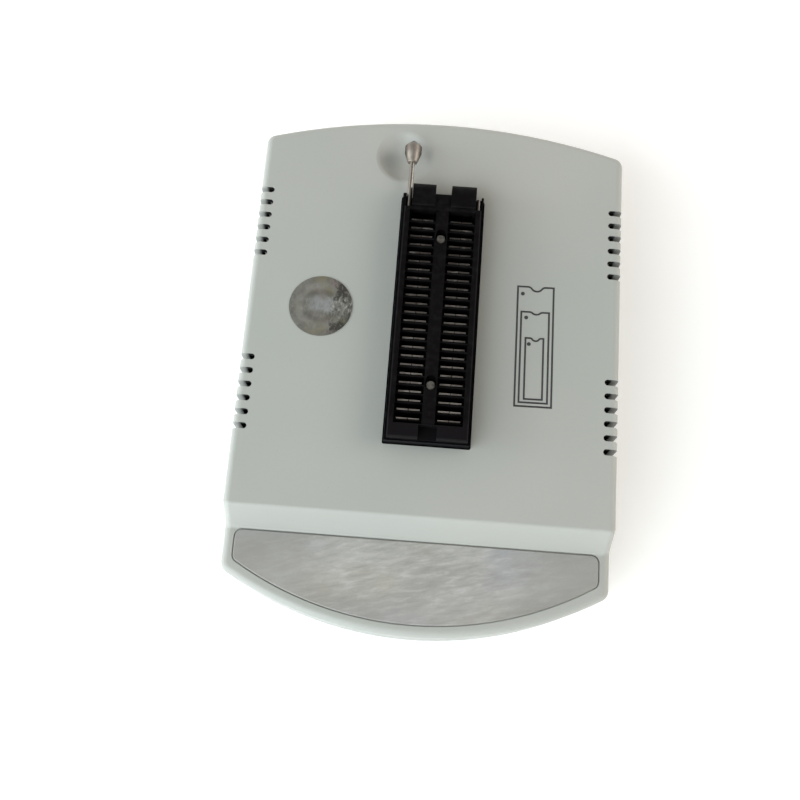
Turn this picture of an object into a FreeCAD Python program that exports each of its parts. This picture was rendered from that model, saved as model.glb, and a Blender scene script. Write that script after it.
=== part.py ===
import FreeCAD, Part
import math
import os

# USB device programmer: a two-part moulded case, a 48-way zero-insertion-force (ZIF) chip socket
# with its cam lever, and two circuit boards inside.
# Millimetres. X to the right, Y to the rear (lever end), Z up. The origin is on the surface the
# rubber feet stand on, below the middle of the case.

V = FreeCAD.Vector

# ---------------------------------------------------------------- driving dimensions
# Case outline, seen from above
CASE_HALF_X = 52.6
CASE_HALF_Y = 74.4
REAR_BOW = 7.9          # how far the middle of the rear edge stands behind its corners
FRONT_BOW = 14.4        # the same for the front edge
CORNER_R = 3.0
WALL = 2.2

# Case heights
FLOOR_Z = 1.5           # underside of the bottom shell
SPLIT_Z = 12.0          # parting line between the two shells
DECK_Z = 30.0           # top face that carries the socket
SHELF_Z = 22.0          # lower face at the front that carries the name plate
BAND_TOP_Y = -43.65     # the sloped band between deck and shelf
BAND_BOTTOM_Y = -48.7
TOP_EDGE_R = 2.0
CREASE_R = 1.2
BOTTOM_EDGE_R = 1.2
PART_GAP = 0.3          # shadow groove at the parting line
LIP_HEIGHT = 2.0
LIP_THICK = 1.0
LIP_PLAY = 0.1

# Finger dish under the lever knob
DISH_X = -11.5
DISH_Y = 62.3
DISH_R = 7.8
DISH_DEPTH = 3.0
DISH_WALL = 1.6
DISH_LIP_R = 1.8

# Side vents: groups of slots that wrap over the upper side edges
VENT_W = 1.75
VENT_PITCH = 3.95
VENT_COUNT = 6
VENT_INNER_X = 48.5
VENT_BOTTOM_Z = 18.0
VENT_REAR_Y = (48.75, -2.4)     # rearmost slot of each group

# Name plate, sticker and printed chip diagram
PLATE_THICK = 0.6
PLATE_SINK = 0.4
PLATE_HALF_X = 49.4
PLATE_REAR_Y = -49.3
PLATE_SIDE_FRONT_Y = -57.3
PLATE_APEX_Y = -71.2
PLATE_CORNER_R = 2.0
PLATE_GAP = 0.35
PLATE_EDGE_R = 0.2
STICKER_X = -31.7
STICKER_Y = 13.9
STICKER_R = 8.9
STICKER_THICK = 0.15
PRINT_THICK = 0.05
PRINT_LINE = 0.5
PRINT_X = 28.7          # middle of the three nested outlines
PRINT_Y = 6.7
PRINT_TURN = 0.7        # the print sits this many degrees askew
PRINT_OUTLINES = (      # half width, front, rear, half width and depth of the wavy notch
    (5.3, -11.2, 24.4, 2.5, 1.3),
    (4.15, -10.1, 16.85, 1.85, 0.7),
    (2.75, -9.1, 9.1, 1.5, 0.8),
)
NOTCH_X = 0.3           # the notches stand this far right of the middle
PRINT_DOT_R = 0.55
PRINT_DOTS = ((1.65, 2.4), (1.65, 1.95), (1.2, 2.0))     # from each outline's left and rear sides

# Boards
BOARD_THICK = 1.6
MAIN_TOP_Z = 8.0
SOCKET_BOARD_TOP_Z = 24.0
MAIN_HALF_X = 38.0
MAIN_Y = (-39.0, 63.5)
SOCKET_BOARD_HALF_X = 36.0
SOCKET_BOARD_Y = (-37.0, 56.0)
STANDOFF_AT = ((-32.5, -32.0), (32.5, -32.0), (-32.5, 51.5), (32.5, 51.5))
STANDOFF_AF = 5.5       # across the flats
STUD_R = 1.45
SCREW_HOLE_R = 1.6

# Case screws and feet
CASE_SCREW_AT = ((-44.5, -31.0), (44.5, -31.0), (-44.5, 56.0), (44.5, 56.0))
CASE_BOSS_R = 3.2
CASE_SCREW_R = 1.45
CASE_SCREW_HEAD_R = 2.8
CASE_SCREW_SINK_Z = 5.0
FOOT_AT = ((-41.0, -50.0), (41.0, -50.0), (-30.0, 60.0), (30.0, 60.0))
FOOT_R = 5.5
FOOT_TOP_Z = 2.1

# Board-to-board headers, 2.54 mm grid, two rows each
PITCH = 2.54
HEADER_X = (-29.0, 29.0)
HEADER_Y = 10.0
HEADER_COLUMNS = 20
HEADER_SOCKET_TOP_Z = 16.5
HEADER_STRIP_BOTTOM_Z = 19.9
HEADER_PIN_BOTTOM_Z = 10.6
PIN_SIDE = 0.64

# USB type B receptacle in the middle of the rear wall
USB_HALF_X = 6.0
USB_HEIGHT = 11.0
USB_DEPTH = 16.0
USB_FACE_Y = 73.9
USB_SHEET = 0.4
USB_PLAY = 0.3

# Surface-mount packages: half sizes, height, lead pitch, leads on each X side and on each Y side
CONTROLLER_AT = (-10.0, 34.0)
CONTROLLER = (5.0, 5.0, 1.4, 0.8, 11, 11)
LOGIC_AT = (6.0, 2.0)
LOGIC = (7.0, 7.0, 1.4, 0.5, 25, 25)
DRIVER_X = 18.5
DRIVER_Y = (-22.0, -4.0, 14.0, 32.0)
DRIVER = (1.95, 4.95, 1.5, 1.27, 8, 0)
REGULATOR_AT = (27.0, -24.0)
REGULATOR = (3.25, 1.75, 1.6, 2.3, 0, 3)

# Components with wires through the main board
CAN_PLACES = ((18.0, 50.0), (18.0, 41.0), (-20.0, -18.0))
CAN_R = 3.15
CAN_TOP = 10.5          # above the board
CAN_WIRE_X = 1.25
CRYSTAL_X = -10.0
CRYSTAL_Y = 46.5
CRYSTAL_HALF = (5.0, 1.9)
CRYSTAL_TOP = 3.6
CRYSTAL_WIRE_X = 2.44

# Drum-core inductor
COIL_X = 8.0
COIL_Y = 46.0
COIL_TOP = 5.0
COIL_FLANGE = 0.9
COIL_FLANGE_R = 3.9
COIL_CORE_R = 1.9
COIL_WINDING_R = 3.3

# Chip resistors and capacitors: first place, steps, how many in a row and in all
CHIP_HALF = (1.0, 0.625)
RESISTOR_GRID = (-24.0, 22.0, 3.2, -2.6, 4, 16)
RESISTOR_HEIGHT = 0.55
CERAMIC_GRID = (-4.0, 18.0, 3.4, -31.0, 6, 12)
CERAMIC_HEIGHT = 0.9

# ZIF socket
ROWS = 24
ZIF_X = 0.6
ZIF_Y = 11.2            # middle of the contact grid
ZIF_FRONT_Y = -24.0
ZIF_REAR_Y = 49.0
ZIF_HALF_X = 11.7
ZIF_TAPER_X = 0.15      # how much narrower each side is at the top of the base
ZIF_BASE_TOP_Z = 33.3
ZIF_FLOOR_Z = 25.6
ZIF_OPENING_PLAY = 0.35
SLIDE_PLAY = 0.05

COLUMN_X = 5.55         # middle of a contact column from the socket's middle
TROUGH_HALF_X = 3.8
TROUGH_REAR = 2.2       # behind the rearmost row
TROUGH_FRONT = 1.7      # in front of the foremost row
SLOT_HALF_X = 3.45
SLOT_REAR = 1.7         # room behind a contact for a chip's pin and for the cover's travel
SLOT_FRONT = 0.35
CONTACT_HALF_X = 3.1
CONTACT_THICK = 0.3
CONTACT_BEAD_R = 0.3
CONTACT_BEAD_Y = 0.03   # middle of a bead, behind the middle of its row
CONTACT_SPLIT = 0.2     # gap between a contact's two tips
CONTACT_TOP_Z = 34.35
CONTACT_TAIL_Z = 20.9
TAIL_X = 7.62           # contact tails, from the socket's middle
TAIL_HALF_X = 0.28

COVER_TOP_Z = 36.4
COVER_SPINE_Z = 36.05
COVER_HALF_X = 10.9
COVER_FRONT_Y = -23.55
COVER_REAR_Y = 47.9
COVER_RIB_TOP_Z = 34.6
COVER_NOTCH_HALF_X = 2.5
COVER_NOTCH_DEPTH = 3.6
COVER_EDGE = 0.35
COVER_TRAVEL = 1.27     # towards the front as the lever goes up

EAR_X = {-1: (2.25, 8.85), 1: (2.25, 9.25)}     # left and right ear, from the socket's middle
EAR_FRONT_Y = 43.8
EAR_REAR_Y = 51.3
EAR_TOP_Z = 37.0
EAR_BOTTOM_Z = 30.5
EAR_ROUND_R = 2.6

RIVET_AT = (34.3, -8.6)
RIVET_HEAD_R = 1.35
RIVET_HEAD_Z = (34.6, 35.5)
RIVET_SHANK_R = 0.75

# Cam rod with its lever arm and tail
PIVOT_Y = 44.4
PIVOT_Z = 32.3
ROD_R = 0.7
CRANK = COVER_TRAVEL / math.sqrt(2.0)   # offset of the cranked lengths from the pivot
ARM_X = -9.75           # lever arm, from the socket's middle
TAIL_ARM_X = 10.2
TAIL_ARM_LENGTH = 4.1
BEND_R = 1.0
CRANK_X = (2.0, 8.1)    # the cranked lengths, from the socket's middle
CRANK_LAP = 0.25        # each crank runs this far past the journals beside it
CENTRE_BEARING_X = 1.65
WEB_X = (8.45, 8.9)     # bearing webs of the base
YOKE_OUTER_X = 8.0      # the part of each ear that takes the crank ends here
SIDE_WALL = {-1: 0.95, 1: 0.6}          # outer walls of the base beside the lever arm and the tail
YOKE_PLAY = 0.12
ARM_PLAY = 0.2          # between the cover and the lever arm in front of it
BEARING_PLAY = 0.07
KNOB_START_Y = 59.2
KNOB_LENGTH = 6.9
KNOB_FLARE = 3.0        # the widest band starts here, from the rod end
KNOB_SHOULDER = 5.1     # and ends here
KNOB_BASE_R = 1.4
KNOB_R = 2.45
KNOB_TIP_R = 0.5
KNOB_EDGE = 0.25


# ---------------------------------------------------------------- helpers
def box(x0, x1, y0, y1, z0, z1):
    return Part.makeBox(x1 - x0, y1 - y0, z1 - z0, V(x0, y0, z0))


def cylinder(x, y, z0, z1, r):
    return Part.makeCylinder(r, z1 - z0, V(x, y, z0))


def rod_x(x0, x1, y, z, r):
    return Part.makeCylinder(r, x1 - x0, V(x0, y, z), V(1, 0, 0))


def prism(points, direction):
    """Extrude a closed polygon of 3-D points."""
    wire = Part.makePolygon([V(*p) for p in points] + [V(*points[0])])
    return Part.Face(wire).extrude(V(*direction))


def union(shapes):
    first, rest = shapes[0], shapes[1:]
    return first.fuse(rest).removeSplitter() if rest else first


def save(name, shapes):
    shape = shapes[0] if len(shapes) == 1 else Part.Compound(shapes)
    shape.exportStep("parts/%s.step" % name)
    sound = all(s.isValid() and s.Volume > 0 for s in shape.Solids)
    state = "ok" if sound else "BAD"
    print("%-24s %3d solids  %9.1f mm3  %s" % (name, len(shape.Solids), shape.Volume, state))


def round_edges(shape, radius, chosen):
    """Round every edge for which chosen(edge) is true."""
    edges = [e for e in shape.Edges if chosen(e)]
    return shape.makeFillet(radius, edges)


def middle(edge):
    return edge.valueAt((edge.FirstParameter + edge.LastParameter) / 2.0)


def is_vertical(edge):
    a, b = edge.Vertexes[0].Point, edge.Vertexes[-1].Point
    return abs(a.z - b.z) > 1e-3 and abs(a.x - b.x) < 1e-6 and abs(a.y - b.y) < 1e-6


# ---------------------------------------------------------------- case outline
def bow_radius(half_chord, bow):
    return (half_chord ** 2 + bow ** 2) / (2.0 * bow)


REAR_R = bow_radius(CASE_HALF_X, REAR_BOW)
FRONT_R = bow_radius(CASE_HALF_X, FRONT_BOW)


def outline(inset, z0, z1):
    """The case's plan outline, moved in by inset, as a solid from z0 to z1 with rounded corners."""
    x = CASE_HALF_X - inset
    rear_r, front_r = REAR_R - inset, FRONT_R - inset
    rear_c, front_c = CASE_HALF_Y - REAR_R, FRONT_R - CASE_HALF_Y
    rear_y = rear_c + math.sqrt(rear_r ** 2 - x ** 2)
    front_y = front_c - math.sqrt(front_r ** 2 - x ** 2)
    edges = [
        Part.LineSegment(V(-x, front_y, z0), V(-x, rear_y, z0)).toShape(),
        Part.Arc(V(-x, rear_y, z0), V(0, rear_c + rear_r, z0), V(x, rear_y, z0)).toShape(),
        Part.LineSegment(V(x, rear_y, z0), V(x, front_y, z0)).toShape(),
        Part.Arc(V(x, front_y, z0), V(0, front_c - front_r, z0), V(-x, front_y, z0)).toShape(),
    ]
    solid = Part.Face(Part.Wire(edges)).extrude(V(0, 0, z1 - z0))
    return round_edges(solid, max(CORNER_R - inset, 1.0), is_vertical)


def stepped(inset, z0, rounded):
    """The outline with the deck, the sloped band and the lower front shelf on top."""
    deck, shelf = DECK_Z - inset, SHELF_Z - inset
    slope = math.atan2(DECK_Z - SHELF_Z, BAND_TOP_Y - BAND_BOTTOM_Y)
    shift = inset * math.tan(slope / 2.0)
    top_y, bottom_y = BAND_TOP_Y + shift, BAND_BOTTOM_Y + shift
    far = CASE_HALF_Y + 10.0
    wide = CASE_HALF_X + 10.0
    side = [(-wide, -far, z0), (-wide, far, z0), (-wide, far, deck), (-wide, top_y, deck),
            (-wide, bottom_y, shelf), (-wide, -far, shelf)]
    body = outline(inset, z0, DECK_Z + 5.0).common(prism(side, (2.0 * wide, 0, 0)))
    if not rounded:
        return body

    def is_crease(edge):
        m = middle(edge)
        across = abs(m.x) < 1.0 and edge.Length > CASE_HALF_X
        return across and min(abs(m.y - BAND_TOP_Y), abs(m.y - BAND_BOTTOM_Y)) < 0.1

    body = round_edges(body, CREASE_R, is_crease)

    def is_top_rim(edge):
        m = middle(edge)
        return m.z > SHELF_Z - 0.1 and not is_vertical(edge) and not (abs(m.x) < 1.0 and abs(m.y) < 55.0)

    return round_edges(body, TOP_EDGE_R, is_top_rim)


# ---------------------------------------------------------------- case
def vent_cutters():
    cutters = []
    for rear_y in VENT_REAR_Y:
        for i in range(VENT_COUNT):
            y = rear_y - i * VENT_PITCH
            for side in (-1, 1):
                x = side * (VENT_INNER_X + VENT_W / 2.0)
                outer = side * (CASE_HALF_X + 2.0)
                cutters.append(cylinder(x, y, VENT_BOTTOM_Z, DECK_Z + 1.0, VENT_W / 2.0))
                cutters.append(box(min(x, outer), max(x, outer), y - VENT_W / 2.0, y + VENT_W / 2.0,
                                   VENT_BOTTOM_Z, DECK_Z + 1.0))
    return cutters


def dish_sphere(extra):
    """The dish's sphere; extra grows it outwards to the underside of the dish's wall."""
    radius = (DISH_R ** 2 + DISH_DEPTH ** 2) / (2.0 * DISH_DEPTH)
    centre = V(DISH_X, DISH_Y, DECK_Z - DISH_DEPTH + radius)
    return Part.makeSphere(radius + extra, centre)


def usb_opening():
    return box(-USB_HALF_X - USB_PLAY, USB_HALF_X + USB_PLAY, 60.0, CASE_HALF_Y + 5.0,
               MAIN_TOP_Z - USB_PLAY, MAIN_TOP_Z + USB_HEIGHT + USB_PLAY)


def top_shell():
    outer = stepped(0.0, SPLIT_Z, True)
    inner = stepped(WALL, SPLIT_Z - 1.0, False)
    # material under the finger dish, kept inside the rear wall
    dish_body = dish_sphere(DISH_WALL).common(stepped(WALL / 2.0, DECK_Z - 8.0, False))
    shell = outer.cut(inner).fuse(dish_body)
    bosses = [cylinder(x, y, SPLIT_Z, DECK_Z - WALL / 2.0, CASE_BOSS_R) for x, y in CASE_SCREW_AT]
    shell = shell.fuse(bosses)
    pilots = [cylinder(x, y, SPLIT_Z - 1.0, SPLIT_Z + 9.0, CASE_SCREW_R + 0.02) for x, y in CASE_SCREW_AT]
    shell = shell.cut(pilots + [dish_sphere(0.0)])

    def is_dish_rim(edge):
        if edge.Degenerated or edge.Length < 1.0:
            return False
        m = middle(edge)
        off = math.hypot(m.x - DISH_X, m.y - DISH_Y)
        return abs(off - DISH_R) < 0.05 and abs(m.z - DECK_Z) < 0.05

    shell = round_edges(shell, DISH_LIP_R, is_dish_rim)
    play = ZIF_OPENING_PLAY
    hole = box(ZIF_X - ZIF_HALF_X - play, ZIF_X + ZIF_HALF_X + play, ZIF_FRONT_Y - play, ZIF_REAR_Y + play,
               DECK_Z - 5.0, DECK_Z + 1.0)
    hole = round_edges(hole, 0.5, is_vertical)
    lip_groove = outline(WALL - LIP_THICK - LIP_PLAY, SPLIT_Z - 1.0, SPLIT_Z + LIP_HEIGHT)
    recess = plate_form(PLATE_GAP, SHELF_Z - PLATE_SINK, SHELF_Z + 1.0)
    core_top = SPLIT_Z + LIP_HEIGHT + 0.5
    boss_cores = [cylinder(x, y, SPLIT_Z - 2.0, core_top, CASE_BOSS_R) for x, y in CASE_SCREW_AT]
    groove = lip_groove.cut(boss_cores)
    return shell.cut(vent_cutters() + [hole, groove, recess, usb_opening()])


def bottom_shell():
    top = SPLIT_Z - PART_GAP
    outer = outline(0.0, FLOOR_Z, top)
    outer = round_edges(outer, BOTTOM_EDGE_R, lambda e: abs(middle(e).z - FLOOR_Z) < 0.01)
    lip = outline(WALL - LIP_THICK, FLOOR_Z + 1.0, SPLIT_Z + LIP_HEIGHT)
    inner = outline(WALL, FLOOR_Z + WALL, SPLIT_Z + LIP_HEIGHT + 1.0)
    shell = outer.fuse(lip).cut(inner)
    board_bosses = [cylinder(x, y, FLOOR_Z + WALL / 2.0, MAIN_TOP_Z - BOARD_THICK, 3.6)
                    for x, y in STANDOFF_AT]
    screw_bosses = [cylinder(x, y, FLOOR_Z + WALL / 2.0, SPLIT_Z, CASE_BOSS_R) for x, y in CASE_SCREW_AT]
    shell = shell.fuse(board_bosses + screw_bosses)
    holes = [usb_opening()]
    for x, y in STANDOFF_AT:
        holes.append(cylinder(x, y, FLOOR_Z + 0.9, MAIN_TOP_Z, STUD_R + 0.02))
    for x, y in CASE_SCREW_AT:
        holes.append(cylinder(x, y, FLOOR_Z - 1.0, CASE_SCREW_SINK_Z, CASE_SCREW_HEAD_R + 0.3))
        holes.append(cylinder(x, y, FLOOR_Z - 1.0, SPLIT_Z + 1.0, SCREW_HOLE_R))
    for x, y in FOOT_AT:
        holes.append(cylinder(x, y, FLOOR_Z - 1.0, FOOT_TOP_Z, FOOT_R + 0.15))
    return shell.cut(holes)


def rubber_feet():
    feet = []
    for x, y in FOOT_AT:
        foot = cylinder(x, y, 0.0, FOOT_TOP_Z, FOOT_R)
        feet.append(round_edges(foot, 0.6, lambda e: abs(middle(e).z) < 0.01))
    return feet


def case_screws():
    """Pan-head screws driven up from below, each with a cross recess."""
    screws = []
    for x, y in CASE_SCREW_AT:
        head = cylinder(x, y, CASE_SCREW_SINK_Z - 2.0, CASE_SCREW_SINK_Z, CASE_SCREW_HEAD_R)
        head = round_edges(head, 0.8, lambda e: abs(middle(e).z - CASE_SCREW_SINK_Z + 2.0) < 0.01)
        screw = head.fuse(cylinder(x, y, CASE_SCREW_SINK_Z - 0.5, SPLIT_Z + 8.0, CASE_SCREW_R))
        screws.append(screw.cut(cross_recess(x, y, CASE_SCREW_SINK_Z - 2.0, 1.2)))
    return screws


def cross_recess(x, y, z, depth):
    """Two crossed slots sunk upwards from a head whose outer face is at z."""
    long, short = 1.5, 0.3
    return [box(x - long, x + long, y - short, y + short, z - 1.0, z + depth),
            box(x - short, x + short, y - long, y + long, z - 1.0, z + depth)]


def plate_form(grow, z0, z1):
    """Lens form of the name plate: straight rear edge and sides, bowed front."""
    x = PLATE_HALF_X + grow
    rear, side, apex = PLATE_REAR_Y + grow, PLATE_SIDE_FRONT_Y - grow / 2.0, PLATE_APEX_Y - grow
    edges = [
        Part.LineSegment(V(-x, side, z0), V(-x, rear, z0)).toShape(),
        Part.LineSegment(V(-x, rear, z0), V(x, rear, z0)).toShape(),
        Part.LineSegment(V(x, rear, z0), V(x, side, z0)).toShape(),
        Part.Arc(V(x, side, z0), V(0, apex, z0), V(-x, side, z0)).toShape(),
    ]
    plate = Part.Face(Part.Wire(edges)).extrude(V(0, 0, z1 - z0))
    return round_edges(plate, PLATE_CORNER_R + grow, is_vertical)


def name_plate():
    bottom = SHELF_Z - PLATE_SINK
    top = bottom + PLATE_THICK
    plate = plate_form(0.0, bottom, top)
    return [round_edges(plate, PLATE_EDGE_R, lambda e: abs(middle(e).z - top) < 0.01)]


def round_sticker():
    disc = cylinder(STICKER_X, STICKER_Y, DECK_Z, DECK_Z + STICKER_THICK, STICKER_R)
    return [disc]


def wave_arcs(rear_y, half, depth):
    """The notch in an outline's rear edge: a shoulder arc, a bottom arc and a shoulder arc."""
    radius = (half ** 2 + depth ** 2) / (4.0 * depth)
    turn = math.asin(half / 2.0 / radius) / 2.0
    along, down = radius * math.sin(turn), radius * (1.0 - math.cos(turn))

    def at(dx, dy):
        return V(PRINT_X + NOTCH_X + dx, rear_y + dy, DECK_Z)

    left = Part.Arc(at(-half, 0), at(-half + along, -down), at(-half / 2.0, -depth / 2.0))
    bottom = Part.Arc(at(-half / 2.0, -depth / 2.0), at(0, -depth), at(half / 2.0, -depth / 2.0))
    right = Part.Arc(at(half / 2.0, -depth / 2.0), at(half - along, -down), at(half, 0))
    return [left, bottom, right]


def notched_outline(half_x, front_y, rear_y, notch_half, notch_depth):
    """Plan face of one printed chip outline."""
    corners = [V(PRINT_X + x, y, DECK_Z) for x, y in
               ((NOTCH_X + notch_half, rear_y), (half_x, rear_y), (half_x, front_y), (-half_x, front_y),
                (-half_x, rear_y), (NOTCH_X - notch_half, rear_y))]
    sides = [Part.LineSegment(a, b).toShape() for a, b in zip(corners, corners[1:])]
    notch = [arc.toShape() for arc in wave_arcs(rear_y, notch_half, notch_depth)]
    return Part.Face(Part.Wire(sides + notch))


def orientation_print():
    """Three nested chip outlines, each with its pin 1 dot."""
    solids = []
    for sizes, (dot_x, dot_y) in zip(PRINT_OUTLINES, PRINT_DOTS):
        face = notched_outline(*sizes)
        ring = face.cut(face.makeOffset2D(-PRINT_LINE))
        solids.append(ring.extrude(V(0, 0, PRINT_THICK)).Solids[0])
        half_x, rear_y = sizes[0], sizes[2]
        x, y = PRINT_X - half_x + dot_x, rear_y - dot_y
        solids.append(cylinder(x, y, DECK_Z, DECK_Z + PRINT_THICK, PRINT_DOT_R))
    for solid in solids:
        solid.rotate(V(PRINT_X, PRINT_Y, DECK_Z), V(0, 0, 1), PRINT_TURN)
    return solids


# ---------------------------------------------------------------- boards and what joins them
def drilled_board(half_x, y_range, top_z, holes):
    board = box(-half_x, half_x, y_range[0], y_range[1], top_z - BOARD_THICK, top_z)
    board = round_edges(board, 1.5, is_vertical)
    drills = [cylinder(x, y, top_z - 3.0, top_z + 1.0, r) for x, y, r in holes]
    return board.cut(drills)


def header_places():
    """Pin positions of both two-row board-to-board headers."""
    places = []
    for x in HEADER_X:
        for row in (-0.5, 0.5):
            for i in range(HEADER_COLUMNS):
                places.append((x + row * PITCH, HEADER_Y + (i - (HEADER_COLUMNS - 1) / 2.0) * PITCH))
    return places


def header_block(x, z0, z1):
    half_y = HEADER_COLUMNS * PITCH / 2.0
    return box(x - PITCH, x + PITCH, HEADER_Y - half_y, HEADER_Y + half_y, z0, z1)


def header_sockets():
    blocks = []
    for x in HEADER_X:
        block = header_block(x, MAIN_TOP_Z, HEADER_SOCKET_TOP_Z)
        holes = [box(px - 0.45, px + 0.45, py - 0.45, py + 0.45, MAIN_TOP_Z + 1.0, HEADER_SOCKET_TOP_Z + 1.0)
                 for px, py in header_places() if abs(px - x) < PITCH]
        blocks.append(block.cut(holes))
    return blocks


def header_strips():
    top = SOCKET_BOARD_TOP_Z - BOARD_THICK
    blocks = []
    for x in HEADER_X:
        block = header_block(x, HEADER_STRIP_BOTTOM_Z, top)
        half = PIN_SIDE / 2.0
        holes = [box(px - half, px + half, py - half, py + half, HEADER_STRIP_BOTTOM_Z - 1.0, top + 1.0)
                 for px, py in header_places() if abs(px - x) < PITCH]
        blocks.append(block.cut(holes))
    return blocks


def header_pins():
    half = PIN_SIDE / 2.0
    return [box(x - half, x + half, y - half, y + half, HEADER_PIN_BOTTOM_Z, SOCKET_BOARD_TOP_Z + 1.2)
            for x, y in header_places()]


def main_board():
    holes = [(x, y, SCREW_HOLE_R) for x, y in STANDOFF_AT]
    holes += [(x, USB_FACE_Y - 11.6, 1.15) for x in (-USB_HALF_X, USB_HALF_X)]
    holes += [(x + side * CAN_WIRE_X, y, 0.4) for x, y in CAN_PLACES for side in (-1, 1)]
    holes += [(CRYSTAL_X + side * CRYSTAL_WIRE_X, CRYSTAL_Y, 0.4) for side in (-1, 1)]
    return [drilled_board(MAIN_HALF_X, MAIN_Y, MAIN_TOP_Z, holes)]


def socket_board():
    holes = [(x, y, SCREW_HOLE_R) for x, y in STANDOFF_AT]
    holes += [(x, y, 0.5) for x, y in header_places()]
    holes += [(x, y, 0.45) for x, y in tail_places()]
    holes += [(ZIF_X, y, RIVET_SHANK_R + 0.25) for y in RIVET_AT]
    return [drilled_board(SOCKET_BOARD_HALF_X, SOCKET_BOARD_Y, SOCKET_BOARD_TOP_Z, holes)]


def board_standoffs():
    """Hexagonal standoffs whose lower studs hold the main board to the bottom shell."""
    solids = []
    top = SOCKET_BOARD_TOP_Z - BOARD_THICK
    corner = STANDOFF_AF / math.sqrt(3.0)
    for x, y in STANDOFF_AT:
        angles = [math.radians(60 * k) for k in range(6)]
        ring = [(x + corner * math.cos(a), y + corner * math.sin(a), MAIN_TOP_Z) for a in angles]
        hexagon = prism(ring, (0, 0, top - MAIN_TOP_Z))
        stud = cylinder(x, y, FLOOR_Z + 1.4, MAIN_TOP_Z + 0.5, STUD_R)
        bore = cylinder(x, y, top - 8.0, top + 1.0, STUD_R + 0.02)
        solids.append(hexagon.fuse(stud).cut(bore))
    return solids


def board_screws():
    """Pan-head screws that clamp the socket board to the standoffs."""
    screws = []
    z = SOCKET_BOARD_TOP_Z
    for x, y in STANDOFF_AT:
        head = cylinder(x, y, z, z + 1.9, 2.75)
        head = round_edges(head, 0.8, lambda e: abs(middle(e).z - z - 1.9) < 0.01)
        screw = head.fuse(cylinder(x, y, z - 7.0, z + 0.5, STUD_R))
        slots = [box(x - 1.5, x + 1.5, y - 0.3, y + 0.3, z + 0.8, z + 3.0),
                 box(x - 0.3, x + 0.3, y - 1.5, y + 1.5, z + 0.8, z + 3.0)]
        screws.append(screw.cut(slots))
    return screws


# ---------------------------------------------------------------- USB receptacle
def usb_shell():
    """Folded sheet-metal box, open at the rear face, with two tabs through the main board."""
    z0, z1 = MAIN_TOP_Z, MAIN_TOP_Z + USB_HEIGHT
    y0 = USB_FACE_Y - USB_DEPTH
    outer = box(-USB_HALF_X, USB_HALF_X, y0, USB_FACE_Y, z0, z1)
    inner = box(-USB_HALF_X + USB_SHEET, USB_HALF_X - USB_SHEET, y0 + USB_SHEET, USB_FACE_Y + 1.0,
                z0 + USB_SHEET, z1 - USB_SHEET)
    tails_way = box(-4.0, 4.0, y0 + 0.8, y0 + 6.0, z0 - 1.0, z0 + 1.0)
    shell = outer.cut([inner, tails_way])
    tab_y = USB_FACE_Y - 11.6
    tabs = []
    for side in (-1, 1):
        x = side * (USB_HALF_X - USB_SHEET / 2.0)
        tabs.append(box(x - USB_SHEET / 2.0, x + USB_SHEET / 2.0, tab_y - 0.9, tab_y + 0.9,
                        z0 - BOARD_THICK - 0.9, z0 + 1.0))
    return [union([shell] + tabs)]


def usb_insulator():
    """Moulded block with the D-shaped plug opening and its tongue."""
    play = 0.03
    z0, z1 = MAIN_TOP_Z + USB_SHEET + play, MAIN_TOP_Z + USB_HEIGHT - USB_SHEET - play
    y0, y1 = USB_FACE_Y - USB_DEPTH + USB_SHEET + play, USB_FACE_Y - 0.4
    half = USB_HALF_X - USB_SHEET - play
    block = box(-half, half, y0, y1, z0, z1)
    mid_z = (z0 + z1) / 2.0
    w, h, cut = 4.3, 3.95, 1.7
    mouth = [(-w, y1 - 9.5, mid_z - h), (w, y1 - 9.5, mid_z - h), (w, y1 - 9.5, mid_z + h - cut),
             (w - cut, y1 - 9.5, mid_z + h), (-w + cut, y1 - 9.5, mid_z + h), (-w, y1 - 9.5, mid_z + h - cut)]
    block = block.cut(prism(mouth, (0, 12.0, 0)))
    tongue = box(-2.8, 2.8, y1 - 9.6, y1 - 0.9, mid_z - 1.6, mid_z + 1.6)
    tongue = round_edges(tongue, 0.4, lambda e: abs(middle(e).y - y1 + 0.9) < 0.01)
    grooves = usb_blades(0.02)
    return [block.fuse(tongue).cut(grooves)]


def usb_blades(grow):
    """The four contact strips and their tails; grow makes the cutters for their grooves."""
    mid_z = MAIN_TOP_Z + USB_HEIGHT / 2.0
    y_tip, y_back = USB_FACE_Y - 2.0, USB_FACE_Y - 12.6
    strips = []
    for level in (-1, 1):
        for side in (-1, 1):
            x, z = side * 1.25, mid_z + level * 1.5
            tail_y = y_back if level < 0 else y_back - 2.0
            flat = box(x - 0.5 - grow, x + 0.5 + grow, tail_y - 0.15 - grow, y_tip + grow,
                       z - 0.12 - grow, z + 0.12 + grow)
            tail = box(x - 0.25 - grow, x + 0.25 + grow, tail_y - 0.15 - grow, tail_y + 0.15 + grow,
                       MAIN_TOP_Z - grow, z + grow)
            strips.append(union([flat, tail]))
    return strips


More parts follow.
